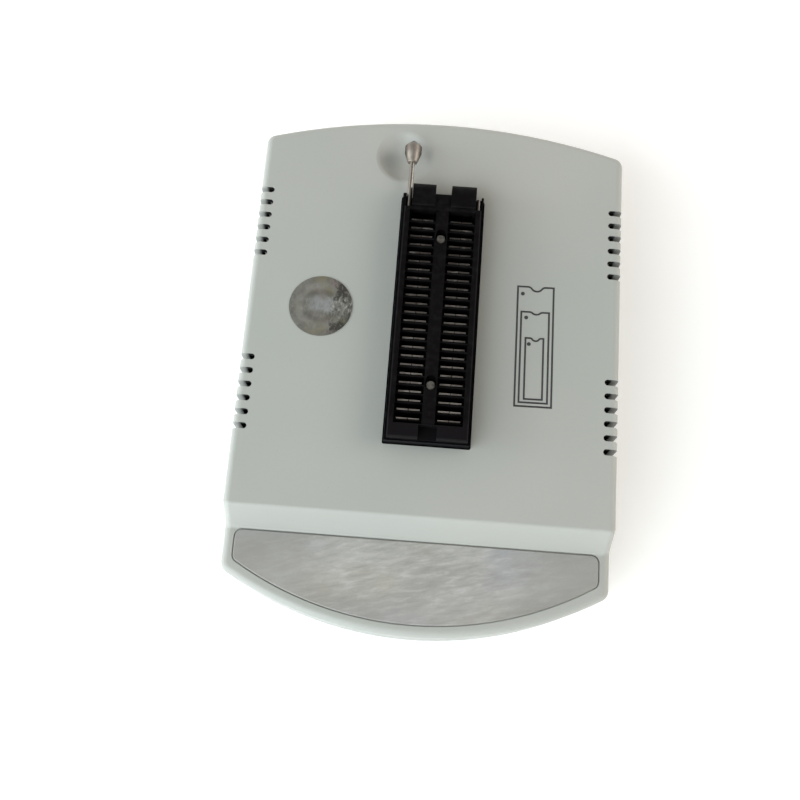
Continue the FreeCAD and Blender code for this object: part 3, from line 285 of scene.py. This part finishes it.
def painted_shade_mask(paint):
    """Painted shade: 1 on the shells' inner faces and deep in the vents, falling to 0 on the outer faces."""
    low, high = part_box("top_shell")
    side, top = high[0], high[2]
    x, y, z = (paint.axis(name) for name in "XYZ")
    across = paint.math("ABSOLUTE", x)
    inside = SHADE_MARGIN - SHELL_WALL
    inner = all_of(paint, [between(paint, across, -1.0, side + inside),
                           between(paint, z, SHADE_LOW_Z, top + inside),
                           between(paint, y, *SHADE_Y)])
    facing = paint.add("ShaderNodeSeparateXYZ")
    paint.feed(facing.inputs[0], paint.add("ShaderNodeNewGeometry").outputs["Normal"])
    upright = paint.math("LESS_THAN", paint.math("ABSOLUTE", facing.outputs["Z"]), 0.3)
    on_right = paint.math("GREATER_THAN", x, 0.0)
    thinned = paint.spread(across, side - VENT_SHADE_FULL, side - VENT_SHADE_GONE, 1.0, 0.0, True)
    thinned = paint.math("MAXIMUM", thinned, paint.math("MULTIPLY", on_right, RIGHT_VENT_SHADE))
    vent = all_of(paint, [between(paint, across, side - VENT_END, side - VENT_LIP),
                          thinned,
                          between(paint, z, SHADE_LOW_Z, top - VENT_TOP),
                          between(paint, y, *VENT_Y),
                          upright])
    return paint.math("MAXIMUM", inner, vent)


def case_plastic():
    """Sand-grained ABS, a touch uneven in tone, with painted shade, dark and rough, on the inner faces and
    deep in the vents.
    """
    cool, warm = (0.366, 0.386, 0.364), (0.392, 0.398, 0.374)
    shaded, speck = (0.32, 0.32, 0.30), (0.24, 0.22, 0.19)
    paint = Paint("case_plastic", (0.38, 0.39, 0.37), 0.46, specular=0.42)
    broad = paint.noise(14.0, 2.0)
    fine = paint.noise(900.0, 4.0, 0.6)
    tone = paint.mix(paint.spread(broad, 0.3, 0.7), cool, warm)
    tone = paint.mix(paint.spread(fine, 0.35, 0.75, 0.0, 0.10), tone, shaded)
    specks = paint.cells(420.0)
    tone = paint.mix(paint.spread(specks, 0.035, 0.06, 0.35, 0.0), tone, speck)
    # painted shade inside the shells and down the vents
    painted_shade = painted_shade_mask(paint)
    paint.color(paint.mix(painted_shade, tone, PAINTED_SHADE_COLOR))
    handled = paint.noise(55.0, 3.0)
    rough = paint.spread(handled, 0.35, 0.7, 0.40, 0.52)
    paint.roughness(paint.math("MAXIMUM", rough, paint.math("MULTIPLY", painted_shade, 0.85)))
    paint.bump(paint.noise(3200.0, 2.0, 0.6), 0.018 * MM, 0.55)
    paint.bump(paint.noise(700.0, 2.0), 0.02 * MM, 0.25)
    return paint


def black_moulding(name, color, roughness, specular=0.12, pale_to=None):
    """Glass-filled black plastic with a faint dusting, paler in front of a given Y."""
    paint = Paint(name, color, roughness, specular=specular)
    dust = paint.noise(500.0, 4.0, 0.65)
    dusty = tuple(c + DUST_LIFT for c in color)
    tone = paint.mix(paint.spread(dust, 0.45, 0.8), color, dusty)
    if pale_to is not None:
        pale_strip = paint.spread(paint.axis("Y"), pale_to - PALE_STRIP_FADE, pale_to + PALE_STRIP_FADE, 0.8, 0.0)
        tone = paint.mix(pale_strip, tone, PALE_STRIP_COLOR)
    paint.color(tone)
    paint.roughness(paint.spread(paint.noise(90.0, 3.0), 0.3, 0.7, roughness - 0.06, roughness + 0.08))
    paint.bump(paint.noise(4200.0, 2.0), 0.012 * MM, 0.6)
    return paint


def drawn_metal(name, color, roughness, axis):
    """Metal with fine lines along one axis."""
    paint = Paint(name, color, roughness, metallic=1.0)
    lengths = [1.0, 1.0, 1.0]
    lengths[axis] = 30.0
    lines = paint.noise(9000.0, 3.0, 0.6, place=paint.stretched(lengths))
    darker = tuple(c * 0.72 for c in color)
    paint.color(paint.mix(paint.spread(lines, 0.35, 0.7), color, darker))
    paint.roughness(paint.spread(paint.noise(400.0, 3.0), 0.3, 0.7, roughness - 0.05, roughness + 0.10))
    paint.bump(lines, 0.004 * MM, 0.5)
    return paint


def contact_metal():
    """Tin-plated bronze: darker towards the rear rows, and stained and scratched unevenly from tip to tip."""
    bright, rear_color = (0.46, 0.42, 0.385), (0.075, 0.067, 0.062)
    stain, scratched = (0.10, 0.085, 0.075), (0.62, 0.58, 0.55)
    low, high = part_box("zif_contacts_left")
    paint = Paint("contact_metal", (0.34, 0.31, 0.29), 0.36, metallic=1.0)
    patches = paint.noise(240.0, 2.0, 0.5)
    scratches = paint.noise(1800.0, 3.0, 0.6, place=paint.stretched((4.0, 1.0, 1.0)))
    rear = paint.spread(paint.axis("Y"), low[1], high[1] - DARKEST_REAR_ROWS, 0.0, 0.92)
    tone = paint.mix(rear, bright, rear_color)
    tone = paint.mix(paint.spread(patches, 0.40, 0.62, 0.0, 0.65), tone, stain)
    tone = paint.mix(paint.spread(scratches, 0.52, 0.72, 0.0, 0.5), tone, scratched)
    paint.color(tone)
    paint.roughness(paint.spread(patches, 0.3, 0.7, 0.30, 0.46))
    paint.bump(scratches, 0.012 * MM, 0.5)
    return paint


def rivet_metal():
    """Dull rivet heads, dished, with painted shade round the lower edge."""
    clean, stained, rim_shade_color = (0.27, 0.26, 0.235), (0.125, 0.115, 0.105), (0.07, 0.065, 0.06)
    low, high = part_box("zif_rivets")
    paint = Paint("rivet_metal", (0.30, 0.29, 0.26), 0.50, metallic=0.9)
    stains = paint.noise(900.0, 3.0, 0.6)
    tone = paint.mix(paint.spread(stains, 0.36, 0.64), clean, stained)
    # painted shade round the lower edge of each head
    rim_shade = paint.spread(paint.axis("Z"), high[2] - RIVET_SHADE_RIM[0], high[2] - RIVET_SHADE_RIM[1], 0.75, 0.0)
    paint.color(paint.mix(rim_shade, tone, rim_shade_color))
    paint.roughness(paint.spread(stains, 0.3, 0.7, 0.42, 0.60))
    paint.bump(stains, 0.02 * MM, 0.5)
    return paint


def knob_metal():
    """Satin plated knob, with painted dark reflections on its tip and along its flanks."""
    light, dull = (0.34, 0.305, 0.265), (0.25, 0.222, 0.195)
    flank_reflection_color, tip_reflection_color = (0.09, 0.078, 0.070), (0.080, 0.070, 0.063)
    low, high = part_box("lever_knob")
    middle = (low[0] + high[0]) / 2.0
    radius = (high[0] - low[0]) / 2.0
    paint = Paint("knob_metal", (0.40, 0.37, 0.335), 0.40, metallic=0.75)
    mottled = paint.noise(700.0, 3.0, 0.55)
    tone = paint.mix(paint.spread(mottled, 0.36, 0.66), light, dull)
    # painted dark reflections: the flanks darken away from the middle, and the tip darkens
    out = paint.math("ABSOLUTE", paint.math("SUBTRACT", paint.axis("X"), middle))
    flank_reflection = paint.spread(out, 0.45 * radius, 0.90 * radius, 0.0, 0.88, True)
    tone = paint.mix(flank_reflection, tone, flank_reflection_color)
    tip_reflection = paint.spread(paint.axis("Y"), high[1] - KNOB_TIP_REFLECTION[0], high[1] - KNOB_TIP_REFLECTION[1], 0.0, 0.88, True)
    tone = paint.mix(tip_reflection, tone, tip_reflection_color)
    paint.color(tone)
    paint.roughness(paint.spread(mottled, 0.3, 0.7, 0.42, 0.54))
    paint.bump(mottled, 0.006 * MM, 0.4)
    return paint


def plate_metal():
    """Satin metal-foil plate: cloudy, with fine slanted streaks, faint cool and warm tints, and painted shade
    towards its ends and its front.
    """
    dull, pale = (0.365, 0.360, 0.342), (0.455, 0.452, 0.435)
    cool, warm = (0.385, 0.395, 0.440), (0.395, 0.375, 0.320)
    glint, scratch, speck = (0.62, 0.62, 0.615), (0.25, 0.25, 0.24), (0.28, 0.28, 0.27)
    end_shade_color, front_shade_color = (0.265, 0.262, 0.245), (0.280, 0.272, 0.265)
    low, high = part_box("name_plate")
    half = (high[0] - low[0]) / 2.0
    paint = Paint("plate_metal", (0.40, 0.40, 0.385), 0.42, metallic=0.15, specular=0.45)
    cloud = paint.noise(90.0, 5.0, 0.60, 0.3, place=paint.stretched((2.2, 1.0, 1.0), PLATE_SLANT))
    streaks = paint.noise(760.0, 5.0, 0.62, 0.3, place=paint.stretched((4.5, 1.0, 1.0), PLATE_SLANT))
    grain = paint.noise(3000.0, 2.0, 0.5, place=paint.stretched((2.5, 1.0, 1.0), PLATE_SLANT))
    tint = paint.noise(60.0, 2.0, 0.5, place=paint.stretched((1.6, 1.0, 1.0), PLATE_SLANT))
    out = paint.math("ABSOLUTE", paint.axis("X"))
    tone = paint.mix(paint.spread(cloud, 0.34, 0.68), dull, pale)
    tone = paint.mix(paint.spread(tint, 0.52, 0.66, 0.0, 0.55), tone, cool)
    tone = paint.mix(paint.spread(tint, 0.44, 0.32, 0.0, 0.50), tone, warm)
    streaky = paint.spread(out, 0.30 * half, 0.95 * half, 0.42, 0.20, True)
    light = paint.math("MULTIPLY", paint.spread(streaks, 0.50, 0.68), streaky)
    tone = paint.mix(light, tone, glint)
    dark = paint.math("MULTIPLY", paint.spread(streaks, 0.48, 0.30), streaky)
    tone = paint.mix(dark, tone, scratch)
    tone = paint.mix(paint.spread(grain, 0.40, 0.70, 0.0, 0.16), tone, speck)
    # painted shade towards the plate's ends and its front edge
    end_shade = paint.spread(out, 0.30 * half, 0.95 * half, 0.0, 0.60, True)
    tone = paint.mix(end_shade, tone, end_shade_color)
    front_shade = paint.spread(paint.axis("Y"), low[1], (low[1] + high[1]) / 2.0, 0.40, 0.0, True)
    tone = paint.mix(front_shade, tone, front_shade_color)
    paint.color(tone)
    paint.roughness(paint.spread(cloud, 0.3, 0.7, 0.36, 0.50))
    paint.bump(streaks, 0.008 * MM, 0.4)
    return paint


def sticker_foil():
    """Round embossed foil: pale middle, olive and pink shimmer, a raised ring, dark patches on the right."""
    dull, bright = (0.140, 0.140, 0.122), (0.225, 0.222, 0.200)
    olive_tint, pink_tint, pale_tint = (0.200, 0.182, 0.115), (0.235, 0.180, 0.170), (0.285, 0.302, 0.305)
    ring_color, groove_color, right_dark_color = (0.275, 0.270, 0.245), (0.115, 0.105, 0.092), (0.026, 0.027, 0.022)
    mark_dark, mark_light = (0.060, 0.062, 0.052), (0.40, 0.40, 0.36)
    low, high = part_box("round_sticker")
    middle = [(a + b) / 2.0 for a, b in zip(low, high)]
    radius = (high[0] - low[0]) / 2.0
    paint = Paint("sticker_foil", (0.16, 0.16, 0.145), 0.40, metallic=0.30)
    x = paint.math("DIVIDE", paint.math("SUBTRACT", paint.axis("X"), middle[0]), radius)
    y = paint.math("DIVIDE", paint.math("SUBTRACT", paint.axis("Y"), middle[1]), radius)
    away = paint.math("ABSOLUTE", y)
    blotch = paint.noise(330.0, 4.0, 0.62, 0.4)
    fine = paint.noise(1500.0, 3.0, 0.6, 0.4, place=paint.stretched((1.0, 2.2, 1.0)))
    shimmer = paint.noise(230.0, 3.0, 0.5)

    tone = paint.mix(paint.spread(blotch, 0.34, 0.66), dull, bright)
    olive = all_of(paint, [paint.spread(away, 0.28, 0.60), paint.spread(x, -0.5, 0.0),
                           paint.spread(shimmer, 0.44, 0.62)])
    tone = paint.mix(paint.math("MULTIPLY", olive, 0.8), tone, olive_tint)
    pink = all_of(paint, [paint.spread(shimmer, 0.50, 0.36), paint.spread(x, -0.4, 0.1)])
    tone = paint.mix(paint.math("MULTIPLY", pink, 0.6), tone, pink_tint)

    wavy = paint.math("ADD", y, paint.spread(blotch, 0.3, 0.7, -0.14, 0.04))
    pale = all_of(paint, [paint.spread(paint.math("ABSOLUTE", wavy), 0.12, 0.36, 1.0, 0.0, True),
                          paint.spread(x, -0.50, -0.10, 0.0, 1.0, True),
                          paint.spread(x, 0.25, 0.60, 1.0, 0.15, True)])
    tone = paint.mix(paint.math("MULTIPLY", pale, 0.8), tone, pale_tint)

    from_middle = distance(paint, x, y)
    ring = band(paint, from_middle, 0.70, 0.03, 0.15, 1.0)
    ticks = paint.math("MULTIPLY", ring, paint.spread(fine, 0.42, 0.60, 0.15, 0.65))
    tone = paint.mix(ticks, tone, ring_color)
    off_axis = paint.spread(away, 0.20, 0.35)
    groove = paint.math("MULTIPLY", band(paint, from_middle, 0.47, 0.03, 0.12, 0.45), off_axis)
    tone = paint.mix(groove, tone, groove_color)

    spot = distance(paint, paint.math("SUBTRACT", x, 0.66), paint.math("SUBTRACT", away, 0.60))
    spot = paint.math("ADD", spot, paint.spread(blotch, 0.34, 0.66, 0.26, -0.26))
    right_dark = paint.spread(spot, 0.12, 0.40, 0.85, 0.0, True)
    edge = all_of(paint, [paint.spread(from_middle, 0.78, 0.97), paint.spread(x, 0.10, 0.60, 0.0, 0.75),
                          paint.spread(blotch, 0.36, 0.56, 0.3, 1.0)])
    right_dark = paint.math("MAXIMUM", right_dark, edge)
    tone = paint.mix(right_dark, tone, right_dark_color)
    near_axis = paint.spread(away, 0.42, 0.22, 0.3, 1.0)
    marks = paint.math("MULTIPLY", paint.spread(x, 0.15, 0.40, 0.20, 0.85), near_axis)
    dark = paint.math("MULTIPLY", paint.spread(fine, 0.50, 0.64), marks)
    tone = paint.mix(dark, tone, mark_dark)
    light = paint.math("MULTIPLY", paint.spread(fine, 0.46, 0.34), marks)
    tone = paint.mix(light, tone, mark_light)
    paint.color(tone)
    paint.roughness(paint.spread(blotch, 0.3, 0.7, 0.30, 0.48))
    paint.bump(fine, 0.012 * MM, 0.4)
    return paint


def board_laminate():
    """Green laminate: tracks under the solder mask, and the glass weave."""
    solder_mask, track, fibre = (0.010, 0.105, 0.030), (0.020, 0.190, 0.060), (0.008, 0.07, 0.02)
    paint = Paint("board_laminate", (0.012, 0.12, 0.035), 0.30, specular=0.5)
    tracks = paint.cells(260.0, "DISTANCE_TO_EDGE")
    copper = paint.spread(tracks, 0.03, 0.07, 1.0, 0.0)
    weave = paint.noise(1500.0, 2.0)
    tone = paint.mix(copper, solder_mask, track)
    paint.color(paint.mix(paint.spread(weave, 0.3, 0.7, 0.0, 0.25), tone, fibre))
    paint.bump(copper, 0.03 * MM, 0.6)
    return paint


def simple(name, color, roughness, metallic=0.0, grain=2500.0, depth=0.008 * MM):
    """Plain moulded, plated or sintered surface with a little tone and roughness variation."""
    paint = Paint(name, color, roughness, metallic)
    mottled = paint.noise(grain * 0.25, 3.0)
    paint.color(paint.mix(paint.spread(mottled, 0.35, 0.7), color, tuple(c * 0.8 for c in color)))
    paint.roughness(paint.spread(mottled, 0.3, 0.7, max(roughness - 0.06, 0.05), roughness + 0.06))
    paint.bump(paint.noise(grain, 2.0), depth, 0.5)
    return paint


# ---------------------------------------------------------------- CAD nodes
def dress_nodes():
    """Give each of the CAD nodes its material."""
    case = case_plastic()
    base = black_moulding("base_plastic", (0.0020, 0.0019, 0.0030), 0.42, 0.055)
    cover = black_moulding("cover_plastic", (0.0033, 0.0027, 0.0031), 0.46, 0.065,
                           pale_to=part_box("zif_cover")[0][1] + COVER_PALE_STRIP)
    header = black_moulding("header_plastic", (0.008, 0.008, 0.008), 0.5)
    epoxy = black_moulding("chip_epoxy", (0.012, 0.012, 0.013), 0.6)
    tin = simple("lead_tin", (0.62, 0.62, 0.60), 0.34, 1.0)
    gold = simple("pin_gold", (0.80, 0.56, 0.22), 0.28, 1.0)
    steel = drawn_metal("screw_steel", (0.48, 0.48, 0.48), 0.34, 2)
    contact = contact_metal()
    paints = {
        case: ("top_shell", "bottom_shell"),
        base: ("zif_base",),
        cover: ("zif_cover",),
        header: ("header_sockets", "header_strips"),
        epoxy: ("microcontroller", "logic_array", "pin_drivers", "voltage_regulator"),
        tin: ("microcontroller_leads", "logic_array_leads", "pin_driver_leads", "voltage_regulator_leads",
              "capacitor_wires"),
        gold: ("header_pins", "usb_contacts"),
        steel: ("case_screws", "board_screws"),
        contact: ("zif_contacts_left", "zif_contacts_right"),
        simple("foot_rubber", (0.012, 0.012, 0.012), 0.75, grain=1800.0, depth=0.02 * MM): ("rubber_feet",),
        plate_metal(): ("name_plate",),
        sticker_foil(): ("round_sticker",),
        simple("print_ink", (0.042, 0.042, 0.044), 0.5, grain=3000.0): ("orientation_print",),
        board_laminate(): ("main_board", "socket_board"),
        simple("standoff_brass", (0.62, 0.44, 0.17), 0.30, 1.0): ("board_standoffs",),
        drawn_metal("usb_sheet", (0.60, 0.60, 0.59), 0.25, 1): ("usb_shell",),
        simple("usb_plastic", (0.62, 0.62, 0.59), 0.40): ("usb_insulator",),
        simple("can_aluminium", (0.58, 0.59, 0.60), 0.32, 1.0): ("capacitor_cans",),
        simple("crystal_can", (0.60, 0.59, 0.57), 0.26, 1.0): ("crystal",),
        simple("ferrite", (0.035, 0.035, 0.038), 0.7): ("inductor_core",),
        drawn_metal("copper_winding", (0.52, 0.20, 0.07), 0.35, 0): ("inductor_winding",),
        simple("resistor_ceramic", (0.02, 0.02, 0.022), 0.45): ("chip_resistors",),
        simple("capacitor_ceramic", (0.30, 0.19, 0.09), 0.5): ("chip_capacitors",),
        rivet_metal(): ("zif_rivets",),
        drawn_metal("rod_steel", (0.44, 0.415, 0.38), 0.30, 1): ("cam_rod",),
        knob_metal(): ("lever_knob",),
    }
    for paint, names in paints.items():
        for name in names:
            dress(name, paint)


scene.view_settings.view_transform = "Standard"
make_camera()
make_world()
make_lights()
make_floor()
dress_nodes()
